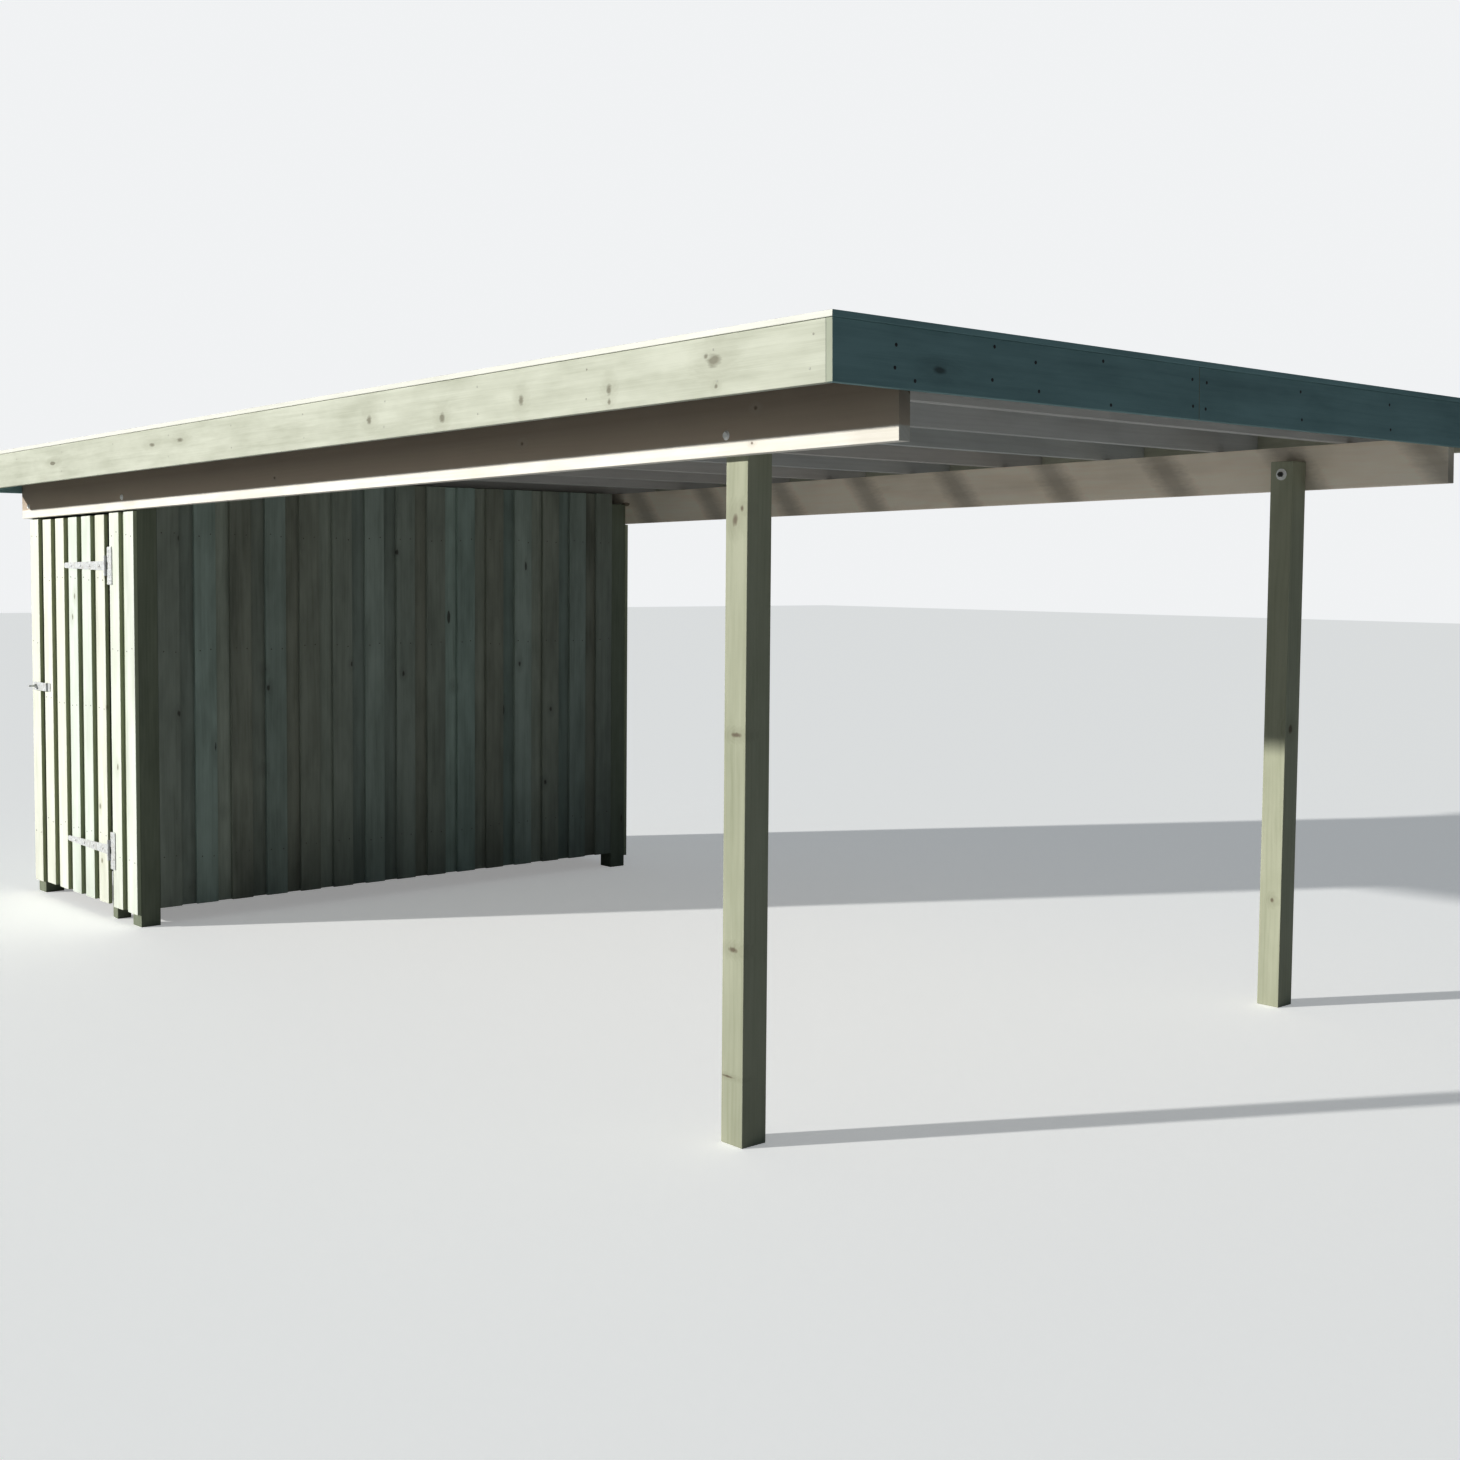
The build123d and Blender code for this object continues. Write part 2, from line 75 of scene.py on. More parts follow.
class Socket:
    """A shader value that sums, products and powers can be written with."""

    def __init__(self, tree, socket):
        self.tree = tree
        self.socket = socket

    def maths(self, operation, *values, clamp=False):
        node = self.tree.nodes.new("ShaderNodeMath")
        node.operation = operation
        node.use_clamp = clamp
        for place, value in zip(node.inputs, values):
            if isinstance(value, Socket):
                self.tree.links.new(value.socket, place)
            else:
                place.default_value = value
        return Socket(self.tree, node.outputs[0])

    def __add__(self, other):
        return self.maths("ADD", self, other)

    __radd__ = __add__

    def __sub__(self, other):
        return self.maths("SUBTRACT", self, other)

    def __rsub__(self, other):
        return self.maths("SUBTRACT", other, self)

    def __mul__(self, other):
        return self.maths("MULTIPLY", self, other)

    __rmul__ = __mul__

    def __truediv__(self, other):
        return self.maths("DIVIDE", self, other)

    def __pow__(self, other):
        return self.maths("POWER", self, other)

    def largest(self, other):
        return self.maths("MAXIMUM", self, other)

    def ramp(self, low, high):
        """0 at low, 1 at high and straight between them."""
        return self.maths("MULTIPLY", self - low, 1 / (high - low), clamp=True)


class Shader:
    """The node tree of a material or a world, with one way to add any node."""

    def __init__(self, owner):
        owner.use_nodes = True
        self.owner = owner
        self.tree = owner.node_tree
        self.surface = self.tree.nodes.get("Principled BSDF")

    def node(self, kind, inputs=None, output=0, **settings):
        node = self.tree.nodes.new(kind)
        for key, value in settings.items():
            setattr(node, key, value)
        for key, value in (inputs or {}).items():
            if isinstance(value, Socket):
                self.tree.links.new(value.socket, node.inputs[key])
            else:
                node.inputs[key].default_value = value
        if isinstance(output, tuple):
            return [Socket(self.tree, node.outputs[key]) for key in output]
        return Socket(self.tree, node.outputs[output])

    def mix(self, factor, first, second, blend="MIX"):
        first, second = (v if isinstance(v, Socket) else (*v, 1.0) for v in (first, second))
        inputs = {0: factor, 6: first, 7: second}
        return self.node("ShaderNodeMix", inputs, 2, data_type="RGBA", blend_type=blend)

    def scaled(self, vector, factors):
        return self.node("ShaderNodeVectorMath", {0: vector, 1: factors}, operation="MULTIPLY")

    def noise(self, vector, detail=3.0, roughness=0.55):
        inputs = {"Vector": vector, "Scale": 1.0, "Detail": detail, "Roughness": roughness}
        return self.node("ShaderNodeTexNoise", inputs)

    def place(self):
        """Place on the object in metres: its vector, X, Y and Z."""
        vector = self.node("ShaderNodeTexCoord", output="Object")
        return [vector, *self.node("ShaderNodeSeparateXYZ", {0: vector}, ("X", "Y", "Z"))]

    def finish(self, **inputs):
        for key, value in inputs.items():
            name = key.replace("_", " ")
            if isinstance(value, Socket):
                self.tree.links.new(value.socket, self.surface.inputs[name])
            else:
                self.surface.inputs[name].default_value = value
        return self.owner


def wood(name, pale, dark, knot, rings=0.30, blotch=0.5, spread=0.2, knots=0.3, spots=(), damp=0.0,
         tinge=1.0, ends=None, rafter_shadow_bands=None, painted_overhang_shade=None, sheltered=None):
    """Softwood with its grain along U of the UV map.

    Rings, blotch, spread and tinge are how strongly the rings, the weather and the boards'
    own shades and hues show. Knots is the share of places that hold one, and spots are knots
    at set places, each with its reach along X, Y and Z. Damp darkens the foot. Ends is the
    colour of the end grain. Rafter shadow bands are painted slanting shadows of the rafters:
    their start, spacing and depth.
    Painted overhang shade is the height of the fascia's shadow edge on a beam, and the brown
    of the painted shade above it, which darkens towards the top.
    Sheltered is how far out a wall's outer face stands, and the tint of what is behind it.
    """
    s = Shader(bpy.data.materials.new(name))
    uv = s.node("ShaderNodeUVMap", uv_map="grain")
    colour, alpha = s.node("ShaderNodeVertexColor", None, ("Color", "Alpha"), layer_name="board")
    tone, hue, wear = s.node("ShaderNodeSeparateColor", {0: colour}, ("Red", "Green", "Blue"))
    end_grain = 1 - alpha
    across = s.node("ShaderNodeSeparateXYZ", {0: uv}, "Y")
    place, x, y, z = s.place()

    # Knots: one cell in a few holds one, longer than wide along the board
    cell = {"Vector": s.scaled(uv, (2.4, 8.5, 1.0)), "Scale": 1.0, "Randomness": 0.9}
    distance, picks = s.node("ShaderNodeTexVoronoi", cell, ("Distance", "Color"))
    chance, size = s.node("ShaderNodeSeparateColor", {0: picks}, ("Red", "Green"))
    chosen = chance.ramp(1.0 - knots, 1.01 - knots)
    ragged = s.noise(s.scaled(uv, (26.0, 90.0, 1.0)), 2.0) * 0.06 - 0.03
    radius = size * 0.07 + 0.04
    heart = (radius - distance - ragged).ramp(-0.006, 0.012) * chosen
    halo = (radius * 3.0 - distance - ragged).ramp(0.0, 0.14) * chosen
    for spot, spread_xyz in spots:
        away = s.node("ShaderNodeVectorMath", {0: place, 1: spot}, operation="SUBTRACT")
        away = s.scaled(away, tuple(1 / r for r in spread_xyz))
        reach = s.node("ShaderNodeVectorMath", {0: away}, "Value", operation="LENGTH")
        heart = heart.largest((0.75 - reach - ragged * 11).ramp(0.0, 0.45))
        halo = halo.largest((2.6 - reach - ragged * 22).ramp(0.0, 1.5))

    # Rings: bands that wander along the board, fade in and out and part round the knots
    wander = s.noise(s.scaled(uv, (0.5, 3.2, 1.0)), 2.0) * 0.16
    wander = wander + s.noise(s.scaled(uv, (2.0, 16.0, 1.0)), 2.0) * 0.02
    rings_per_metre = 52.0
    turn = (across + wander + halo * 0.03) * (rings_per_metre * math.tau)
    ring = turn.maths("SINE", turn) * 0.5 + 0.5
    fibre = s.noise(s.scaled(uv, (4.0, 420.0, 1.0)), 2.0, 0.65)
    streak = s.noise(s.scaled(uv, (1.1, 34.0, 1.0)), 3.0, 0.6)
    cloud = s.noise(s.scaled(uv, (0.8, 5.5, 1.0)), 3.0, 0.6)
    patch = s.noise(s.scaled(uv, (3.2, 11.0, 1.0)), 3.0, 0.6)
    grain = ring ** 2.0 * rings * streak.ramp(0.30, 0.70)
    grain = grain + (fibre - 0.5) * 0.5 + (streak - 0.5) * 1.1 * blotch
    grain = grain + (cloud - 0.5) * 1.5 * blotch + (patch - 0.5) * 2.2 * blotch + end_grain * 0.5

    # Colour: the grain's two tones, each board's own tint and shade, the weather, then any painted
    # shadows and painted shade
    base = s.mix(grain.maths("ADD", grain, 0.25, clamp=True), pale, dark)
    warm = s.mix(hue.ramp(0.0, 0.45), (1.08, 0.97, 0.90), (1.0, 1.0, 1.0))
    tint = s.mix(hue.ramp(0.6, 1.0), warm, (0.93, 1.01, 1.02))
    base = s.mix(tinge, base, tint, "MULTIPLY")
    if ends:
        base = s.mix(end_grain * 0.9, base, ends)
    if sheltered:
        face_x, fresh = sheltered
        inside = 1 - x.maths("ABSOLUTE", x).ramp(face_x - 0.003, face_x - 0.001)
        base = s.mix(inside, base, s.mix(1.0, base, fresh, "MULTIPLY"))
    shade = (tone - 0.5) * spread * 2.0 + 1.0 - end_grain * 0.12
    shade = shade - cloud.ramp(0.50, 0.78) * wear * blotch * 0.5
    if damp:
        shade = shade - (1 - z.ramp(0.02, 0.55)) * cloud.ramp(0.2, 0.6) * damp
    # Painted shadows of the rafters: slanting dark bands across a beam's face
    if rafter_shadow_bands:
        start, spacing, depth = rafter_shadow_bands
        beam_middle_z, slant = 2.28, 0.8
        lean = (y - (z - beam_middle_z) * slant - start) / spacing
        fold = lean.maths("PINGPONG", lean, 0.5)
        shade = shade - (1 - (fold + ragged * 1.5).ramp(0.04, 0.20)) * depth
    # Painted shade: above the fascia's shadow edge the beam turns brown and darkens towards its
    # top
    if painted_overhang_shade:
        shadow_edge_z, brown = painted_overhang_shade
        above = z + (y - roof_start_y) * roof_fall - shadow_edge_z + ragged * 0.05
        base = s.mix(above.ramp(-0.003, 0.003), base, brown)
        shade = shade - above.ramp(0.0, 0.10) * 0.42
    grey = s.node("ShaderNodeCombineColor", {0: shade, 1: shade, 2: shade})
    base = s.mix(1.0, base, grey, "MULTIPLY")
    base = s.mix(halo * 0.22, base, tuple(0.5 * (a + b) for a, b in zip(knot, dark)))
    base = s.mix(heart * 0.75, base, tuple(0.6 * c for c in knot))
    height = fibre * 0.5 + ring * 0.25 + streak * 0.4 - heart * 0.7
    bump = s.node("ShaderNodeBump", {"Strength": 0.4, "Distance": 0.0012, "Height": height})
    return s.finish(Base_Color=base, Roughness=0.66 + fibre * 0.22 - heart * 0.15, Normal=bump)


def islands(bm):
    """Groups of linked faces, one for each solid, in the order of the mesh's faces."""
    seen = set()
    for start in bm.faces:
        if start in seen:
            continue
        seen.add(start)
        group, waiting = [start], [start]
        while waiting:
            for edge in waiting.pop().edges:
                for face in edge.link_faces:
                    if face not in seen:
                        seen.add(face)
                        group.append(face)
                        waiting.append(face)
        yield group


def group_middle(group):
    """Mean of a group's face centres."""
    return sum((f.calc_center_median() for f in group), Vector()) / len(group)


def lay_grain(bm, group, along, colour, offset):
    """UVs in metres along and across the grain, and the board's own colour."""
    grain = bm.loops.layers.uv.verify()
    board = bm.loops.layers.color.verify()
    for face in group:
        normal = face.normal
        end = abs(normal.dot(along)) > 0.7
        side = along.cross(normal)
        if end:
            side = normal.orthogonal().normalized()
        side.normalize()
        run = normal.cross(side) * 0.4 if end else along
        turn = normal.dot(Vector((0.31, 0.57, 0.23))) * 3.0
        for loop in face.loops:
            spot = loop.vert.co
            loop[grain].uv = (spot.dot(run) + offset.x, spot.dot(side) + offset.y + turn)
            loop[board] = (*colour, 0.0 if end else 1.0)


def stand(name, data):
    """Put a mesh, a light or a camera into the scene."""
    thing = bpy.data.objects.new(name, data)
    bpy.context.scene.collection.objects.link(thing)
    return thing


def finish_wood(name, bm, material, body, edge):
    """Ease the arrises and make the piece."""
    sharp = [
        e for e in bm.edges
        if len(e.link_faces) == 2 and e.calc_face_angle(0) > 0.6 and e.calc_length() > 0.012
    ]
    bmesh.ops.bevel(
        bm, geom=sharp, offset=edge, segments=2, profile=0.6, affect="EDGES", clamp_overlap=True)
    mesh = bpy.data.meshes.new(name)
    bm.to_mesh(mesh)
    bm.free()
    mesh.uv_layers[0].name = "grain"
    mesh.color_attributes[0].name = "board"
    mesh.materials.append(material)
    piece = stand(name, mesh)
    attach(piece, body)
    return piece


def node_mesh(node):
    """A copy of a solid's mesh, with whole faces."""
    bm = bmesh.new()
    bm.from_mesh(nodes[node].data)
    bmesh.ops.remove_doubles(bm, verts=bm.verts, dist=1e-5)
    bmesh.ops.dissolve_limit(bm, angle_limit=0.01, verts=bm.verts, edges=bm.edges)
    return bm


def timber(node, material, along, edge=0.002, tones=(), jitter=0.0):
    """Stand boards for a node's solids. Returns each board's box, in order."""
    bm = node_mesh(node)
    groups = sorted(islands(bm), key=lambda g: tuple(round(c, 3) for c in group_middle(g)))
    boxes = []
    for number, group in enumerate(groups):
        offset = Vector((rng.uniform(0, 60), rng.uniform(0, 60)))
        colour = (rng.random(), rng.random(), rng.random())
        if number < len(tones):
            colour = (tones[number][0], tones[number][1], colour[2])
        push = Vector((rng.uniform(-jitter, jitter), rng.uniform(-jitter, jitter), 0.0))
        verts = {v for f in group for v in f.verts}
        for vert in verts:
            vert.co += push
        box = [Vector(pick(v.co[i] for v in verts) for i in range(3)) for pick in (min, max)]
        boxes.append(box)
        lay_grain(bm, group, along, colour, offset)
    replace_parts(finish_wood("wood_" + node, bm, material, nodes[node]["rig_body"], edge), node)
    return boxes


def side_knots(x, *places):
    """Knots on a face square to X: Y and Z of each, and its reach along them."""
    return [((x, y, z), (0.03, reach_y, reach_z)) for y, z, reach_y, reach_z in places]


knot_brown = (0.17, 0.11, 0.06)
post_pale, post_dark = (0.430, 0.489, 0.408), (0.285, 0.334, 0.252)
post_spots = side_knots(
    -1.515,
    (-2.553, 1.950, 0.020, 0.030),
    (-2.585, 1.985, 0.012, 0.016),
    (-2.566, 1.289, 0.040, 0.012),
    (-2.560, 0.618, 0.032, 0.014),
    (-2.540, 0.215, 0.045, 0.006),
)
post_spots.append(((1.452, -2.667, 1.158), (0.022, 0.03, 0.030)))
post_spots += side_knots(1.415, (-2.625, 0.445, 0.014, 0.016))
post_wood = wood("post_timber", post_pale, post_dark, knot_brown, rings=0.22, blotch=0.38,
                 spread=0.08, knots=0.22, spots=post_spots, damp=0.12)
# The store's posts and the hinge jamb take a darker copy of the post timber: painted shade for the
# dark corners where they meet the walls.
shaded_store_post_wood = wood("shaded_store_post_timber", (0.27, 0.325, 0.26), (0.16, 0.20, 0.15), knot_brown,
                       rings=0.22, blotch=0.45, spread=0.08, knots=0.22, damp=0.12)
for post in [n for n in nodes if n.startswith("post_")]:
    timber(post, shaded_store_post_wood if "store" in post else post_wood, upright, 0.003)


# Beams
# Two planed boards on edge, creamier than the posts, bolted to their outer sides. The near one
# is painted browner and darker above its lower edge: painted shade where the fascia's shadow
# falls.
downhill = Vector((0, 6.55, -0.112)).normalized()
beam_pale, beam_dark = (0.88, 0.88, 0.84), (0.72, 0.71, 0.65)
beam_spots = side_knots(
    -1.560,
    (-2.692, 2.279, 0.014, 0.010),
    (-2.677, 2.176, 0.010, 0.007),
    (-1.480, 2.230, 0.016, 0.010),
    (0.350, 2.170, 0.016, 0.010),
)
# The near beam is painted browner and darker above its lit lower edge: painted shade from the
# fascia's overhang.
near_beam_wood = wood("near_beam_timber", beam_pale, beam_dark, knot_brown, rings=0.25, blotch=0.7,
                      spread=0.05, spots=beam_spots, painted_overhang_shade=(2.1985, (0.60, 0.50, 0.40)))
# Its slanting dark bands are painted shadows of the rafters.
far_beam_wood = wood("far_beam_timber", (0.98, 0.97, 0.89), (0.92, 0.88, 0.77), (0.40, 0.25, 0.13),
                     rings=0.2, blotch=0.6, spread=0.04, knots=0.25, rafter_shadow_bands=(-0.075, 0.625, 0.36))
timber("beam_near", near_beam_wood, downhill, 0.002)
timber("beam_far", far_beam_wood, downhill, 0.002, tones=[(1.0, 0.35)])


# Bolts
# Galvanised coach bolts through beam and post. Each has a round washer, painted near-white
# as a painted highlight of its glint, and a dull nut on the bay side of the post.
nut_faces_x = 1.4118


def galvanised(name, pale, dark, dirt_colour, rust=0.5, metal=0.8, nut=None):
    """Zinc in small spangles, with dirt. Nut is the colour of what stands past a washer."""
    s = Shader(bpy.data.materials.new(name))
    place, x, _, _ = s.place()
    picks = s.node("ShaderNodeTexVoronoi", {"Vector": place, "Scale": 150.0}, "Color")
    tone = s.node("ShaderNodeSeparateColor", {0: picks})
    dirt = s.noise(s.scaled(place, (38.0, 38.0, 38.0)), 5.0).ramp(0.46, 0.70)
    base = s.mix(tone, dark, pale)
    base = s.mix(dirt * rust, base, dirt_colour)
    if nut:
        base = s.mix(x.maths("ABSOLUTE", x).ramp(nut_faces_x - 0.0018, nut_faces_x), nut, base)
    bump = s.node("ShaderNodeBump", {"Strength": 0.25, "Distance": 0.0006, "Height": tone + dirt})
    bare = metal - dirt * 0.5 * metal
    dull = 0.40 + tone * 0.14 + dirt * 0.25
    return s.finish(Base_Color=base, Metallic=bare, Roughness=dull, Normal=bump)


def coat(node, finish):
    """Give a solid one finish all over."""
    nodes[node].data.materials.clear()
    nodes[node].data.materials.append(finish)


steel = galvanised("galvanised_steel", (0.74, 0.75, 0.75), (0.58, 0.59, 0.60), (0.34, 0.32, 0.28),
                   0.5, 0.4)
# The washers' near-white, non-metal colour is a painted highlight standing in for their glint.
painted_highlight_zinc = galvanised("painted_highlight_zinc", (0.98, 0.98, 0.96), (0.90, 0.90, 0.89), (0.55, 0.52, 0.46),
                         0.2, 0.0, nut=(0.07, 0.07, 0.065))
coat("frame_bolts", painted_highlight_zinc)


# Rafters and roof boarding
# Rafters on edge across the beams, and narrow boards along the roof nailed on top. Both
# have greyed in the shade.
crosswise = Vector((1, 0, 0))
rafter_wood = wood("rafter_timber", (0.62, 0.62, 0.61), (0.49, 0.485, 0.475), knot_brown,
                   rings=0.2, blotch=0.4, spread=0.06, tinge=0.35)
for node in ("rafters", "rafter_front", "rafter_back"):
    timber(node, rafter_wood, crosswise, 0.002)

deck_wood = wood("roof_boarding", (0.61, 0.61, 0.60), (0.48, 0.47, 0.455), knot_brown, rings=0.2,
                 blotch=0.45, spread=0.09, tinge=0.35)
board_count, joint = 30, 0.0015
box_faces = ((0, 1, 2, 3), (7, 6, 5, 4), (0, 4, 5, 1), (1, 5, 6, 2), (2, 6, 7, 3), (3, 7, 4, 0))
slab = node_mesh("roof_deck")
corners = [v.co.copy() for v in slab.verts]
slab.free()
low_x, high_x = min(c.x for c in corners), max(c.x for c in corners)
middle_y = sum(c.y for c in corners) / len(corners)
ends = []
for front in (True, False):
    pair = sorted((c for c in corners if c.x < 0 and (c.y < middle_y) == front), key=lambda c: c.z)
    ends.append((pair[0], pair[-1]))
(front_bottom, front_top), (back_bottom, back_top) = ends
section = (front_bottom, front_top, back_top, back_bottom)
pitch = (high_x - low_x) / board_count
boards = bmesh.new()
for i in range(board_count):
    left, right = low_x + i * pitch + joint / 2, low_x + (i + 1) * pitch - joint / 2
    ring = [boards.verts.new((x, c.y, c.z)) for x in (left, right) for c in section]
    for face in box_faces:
        boards.faces.new([ring[k] for k in face])
bmesh.ops.recalc_face_normals(boards, faces=boards.faces)
for group in list(islands(boards)):
    colour = (rng.random(), rng.random(), rng.random())
    lay_grain(boards, group, downhill, colour, Vector((rng.uniform(0, 60), rng.uniform(0, 60))))
body = nodes["roof_deck"]["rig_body"]
deck = finish_wood("wood_roof_deck", boards, deck_wood, body, 0.003)
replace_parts(deck, "roof_deck")


# Fascia and cap
# Deep square-edged boards nailed to the rafters' ends, with a flat strip on top. The front
# board is in two lengths that butt near its middle.
near_fascia_spots = side_knots(
    -1.84,
    (-2.825, 2.386, 0.050, 0.030),
    (-2.790, 2.400, 0.016, 0.012),
    (-2.835, 2.314, 0.012, 0.012),
    (-2.340, 2.337, 0.020, 0.030),
    (-2.341, 2.301, 0.014, 0.014),
    (-1.877, 2.337, 0.022, 0.026),
    (-1.407, 2.306, 0.026, 0.028),
    (-0.920, 2.326, 0.028, 0.026),
    (0.659, 2.330, 0.050, 0.014),
    (0.943, 2.322, 0.045, 0.014),
)
side_fascia_wood = wood("side_fascia_timber", (0.61, 0.64, 0.56), (0.40, 0.425, 0.345),
                        (0.27, 0.25, 0.17), rings=0.10, blotch=0.6, spread=0.04, knots=0.06,
                        spots=near_fascia_spots, tinge=0.4)
cap_wood = wood("side_cap_timber", (0.80, 0.81, 0.76), (0.62, 0.63, 0.57), (0.26, 0.22, 0.15),
                rings=0.10, blotch=0.4, spread=0.04, knots=0.05, tinge=0.3)
# The end boards' dark teal is painted shade on the same pale timber as the side boards; their end
# grain keeps the pale colour. The front and back caps take this shaded copy too.
shaded_end_fascia_wood = wood("shaded_end_fascia_timber", (0.265, 0.415, 0.425), (0.165, 0.275, 0.285),
                       (0.07, 0.10, 0.10), rings=0.12, blotch=0.6, spread=0.05, knots=0.25,
                       tinge=0.4, ends=(0.52, 0.54, 0.43),
                       spots=[((-1.422, -3.302, 2.356), (0.045, 0.03, 0.020))])
timber("fascia_near", side_fascia_wood, downhill, 0.0025)
timber("fascia_far", side_fascia_wood, downhill, 0.0025)
timber("fascia_back", shaded_end_fascia_wood, crosswise, 0.0025)
front_joint_x = -0.180
bm = node_mesh("fascia_front")
for x in (front_joint_x - 0.001, front_joint_x + 0.001):
    everything = [*bm.verts, *bm.edges, *bm.faces]
    bmesh.ops.bisect_plane(bm, geom=everything, plane_co=(x, 0, 0), plane_no=(1, 0, 0))
in_the_gap = [f for f in bm.faces if abs(f.calc_center_median().x - front_joint_x) < 0.0009]
bmesh.ops.delete(bm, geom=in_the_gap, context="FACES")
bmesh.ops.holes_fill(bm, edges=[e for e in bm.edges if len(e.link_faces) == 1], sides=4)
bmesh.ops.recalc_face_normals(bm, faces=bm.faces)
for number, group in enumerate(sorted(islands(bm), key=lambda g: group_middle(g).x)):
    offset = Vector((11.0 + 7.3 * number, 5.0 + 2.1 * number))
    lay_grain(bm, group, crosswise, (0.35 + 0.3 * number, 0.7, 0.5), offset)
body = nodes["fascia_front"]["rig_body"]
front_board = finish_wood("wood_fascia_front", bm, shaded_end_fascia_wood, body, 0.0025)
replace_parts(front_board, "fascia_front")
for node in ("cap_near", "cap_far"):
    timber(node, cap_wood, downhill, 0.002)
for node in ("cap_front", "cap_back"):
    timber(node, shaded_end_fascia_wood, crosswise, 0.002)


# Roofing felt
# Mineral-faced felt in one-metre widths across the roof, each lapped over the next one
# down the slope, on the tray of felt that is dressed up to the cap.
def felt():
    s = Shader(bpy.data.materials.new("roofing_felt"))
    place, x, y, _ = s.place()
    speck = s.noise(s.scaled(place, (900.0, 900.0, 900.0)), 2.0)
    patch = s.noise(s.scaled(place, (1.3, 1.3, 1.3)), 6.0)
    by_the_edge = x.maths("ABSOLUTE", x).ramp(1.35, 1.80) + y.ramp(2.4, 3.3) * 0.7
    moss = s.noise(s.scaled(place, (9.0, 9.0, 9.0)), 6.0, 0.7) * by_the_edge
    base = s.mix(speck.ramp(0.38, 0.62), (0.080, 0.085, 0.090), (0.22, 0.23, 0.235))
    base = s.mix(patch.ramp(0.42, 0.70) * 0.22, base, (0.15, 0.155, 0.145))
    base = s.mix(moss.ramp(0.30, 0.60) * 0.6, base, (0.09, 0.105, 0.045))
    height = speck * 0.5 + patch
    bump = s.node("ShaderNodeBump", {"Strength": 0.6, "Distance": 0.002, "Height": height})
    return s.finish(Base_Color=base, Roughness=0.88 + speck * 0.1, Normal=bump)


felt_finish = felt()
coat("roof_felt", felt_finish)
tray = node_mesh("roof_felt")
inside = [v.co.copy() for v in tray.verts if abs(v.co.x) < 1.80]
tray.free()
front_y, back_y = min(c.y for c in inside), max(c.y for c in inside)
front_z = min(c.z for c in inside if c.y < 0)
back_z = min(c.z for c in inside if c.y > 0)
half_x = max(c.x for c in inside) - 0.002
sheet_width, lap, lap_height = 0.92, 0.08, 0.003
ripples_a_metre, ripple_height, ripple_lift = 1.7, 0.0008, 0.0012
profile = [(0.0, 0.0), (0.2, 0.0), (0.4, 0.0), (0.6, 0.0), (0.8, 0.0), (0.86, 0.4),
           (sheet_width, 1.0), (sheet_width + lap - 0.002, 1.0)]
rows = []
y = front_y + 0.003
while y < back_y:
    for step, rise in profile:
        rows.append((y + step, rise * lap_height))
    y += sheet_width + lap
rows = [r for r in rows if r[0] < back_y - 0.004] + [(back_y - 0.003, 0.0)]
wide = 45
columns = [half_x * (2 * i / (wide - 1) - 1) for i in range(wide)]
vertices, faces = [], []
for y, rise in rows:
    share = (y - front_y) / (back_y - front_y)
    for x in columns:
        ripple = noise.noise(Vector((x * ripples_a_metre, y * ripples_a_metre, 3.0)))
        ripple = ripple * ripple_height + ripple_lift
        vertices.append((x, y, front_z + (back_z - front_z) * share + rise + ripple))
for i in range(len(rows) - 1):
    for j in range(wide - 1):
        first, next_row = i * wide + j, (i + 1) * wide + j
        faces.append((first, first + 1, next_row + 1, next_row))
felt_mesh = bpy.data.meshes.new("felt_widths")
felt_mesh.from_pydata(vertices, [], faces)
felt_mesh.materials.append(felt_finish)
felt_widths = stand("felt_widths", felt_mesh)
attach(felt_widths, "carport")


# Store frame
# Sawn softwood rails between the posts, which the cladding is nailed to, the planed jamb
# that the door hangs on, and the strip inside the far edge of the doorway that stops it.
rails = timber("store_rails", rafter_wood, crosswise, 0.002)
timber("hinge_jamb", shaded_store_post_wood, upright, 0.0025)
timber("door_stop", rafter_wood, upright, 0.002)


# Cladding
# Sawn boards on end, an outer layer nailed over the gaps of an under layer. Their tones
# run from brown to blue-green, and their feet have darkened with splashes. The end walls'
# boards are a darker, bluer copy of the cladding: painted shade.
front_face_y, side_face_x = 1.870, 1.535
front_wall_knots = [
    ((x, front_face_y, z), (0.014, 0.03, 0.024)) for x, z in (
        (-1.299, 1.932), (-0.823, 1.167), (-0.841, 1.265), (-0.017, 1.215), (0.315, 1.132),
        (-0.334, 1.277), (-1.309, 1.056), (0.933, 0.551), (-0.845, 0.746), (-1.061, 0.538),
        (0.969, 0.977), (-0.055, 1.877), (0.750, 1.247), (-1.250, 0.170),
    )
]
near_wall_knots = side_knots(-side_face_x, *[
    (y, z, 0.016, 0.026) for y, z in (
        (2.221, 1.735), (2.618, 1.631), (2.648, 1.523), (3.053, 1.492),
        (2.218, 1.076), (2.090, 0.782), (2.316, 0.563), (2.301, 0.282),
    )
])
side_clad = wood("side_cladding", (0.80, 0.83, 0.77), (0.58, 0.61, 0.51), (0.30, 0.27, 0.16),
                 rings=0.12, blotch=0.45, spread=0.05, knots=0.25, damp=0.15, tinge=0.3,
                 spots=near_wall_knots, sheltered=(side_face_x, (0.60, 0.63, 0.50)))
under_clad = wood("under_cladding", (0.46, 0.50, 0.36), (0.32, 0.36, 0.23), (0.13, 0.085, 0.05),
                  rings=0.2, blotch=0.4, spread=0.10, knots=0.3, damp=0.2, tinge=0.3)
